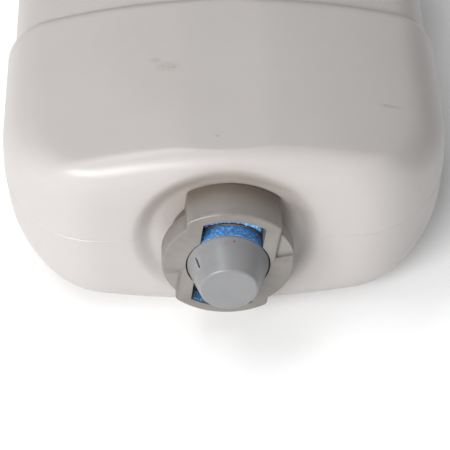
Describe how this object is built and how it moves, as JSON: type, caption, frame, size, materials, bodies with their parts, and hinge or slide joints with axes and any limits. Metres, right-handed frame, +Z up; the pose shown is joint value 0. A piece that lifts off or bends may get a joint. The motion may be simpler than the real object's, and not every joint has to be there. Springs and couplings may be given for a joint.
{
  "type": "detergent dispenser bottle",
  "caption": "Flat wide detergent bottle lying on its side, with a winged screw collar, docking slots, a sprung conical nose valve and an inner suction tube.",
  "frame": {"origin": "middle of the overall box, on the surface the bottle lies on", "axes": "+Z up through the bottle's thickness, -Y out of the neck along its axis, +X across the wide side"},
  "size_m": [0.2, 0.2678, 0.0938],
  "materials": {
    "milky_hdpe": "satin, faintly translucent blow-moulded polyethylene",
    "collar_grey": "satin warm grey moulded polypropylene",
    "nose_grey": "satin mid grey moulded polypropylene",
    "valve_dark": "satin dark moulded acetal",
    "seal_rubber": "matt black EPDM",
    "spring_steel": "drawn stainless wire",
    "tube_clear": "satin natural polyethylene"
  },
  "bodies": {
    "bottle": {"bottle_shell": "milky_hdpe"},
    "cartridge": {"valve_body": "valve_dark", "neck_gasket": "seal_rubber", "boss_ring": "seal_rubber", "vent_valve": "seal_rubber", "tube_adaptor": "valve_dark", "adaptor_gasket": "seal_rubber", "suction_tube": "tube_clear", "strainer": "valve_dark", "nose_spring": "spring_steel"},
    "collar_ring": {"collar": "collar_grey"},
    "plunger": {"nose": "nose_grey", "stem": "tube_clear", "poppet_seal": "seal_rubber", "poppet": "tube_clear", "stem_clip": "spring_steel"}
  },
  "joints": [
    {"name": "cartridge_lift", "type": "slide", "parent": "bottle", "child": "cartridge", "axis": [0, -1, 0], "range_m": [0, 0.0061]},
    {"name": "collar_turn", "type": "hinge", "parent": "cartridge", "child": "collar_ring", "pos_m": [0, -0.1142, 0.0469], "axis": [0, -1, 0], "range_deg": [0, 540]},
    {"name": "nose_push", "type": "slide", "parent": "cartridge", "child": "plunger", "axis": [0, 1, 0], "range_m": [0, 0.005], "stiffness_N_per_m": 900, "springref_m": -0.006, "deforming": ["nose_spring"]}
  ],
  "couplings": [
    {"joint": "cartridge_lift", "follows": "collar_turn", "m_per_rad": 0.00063662}
  ]
}
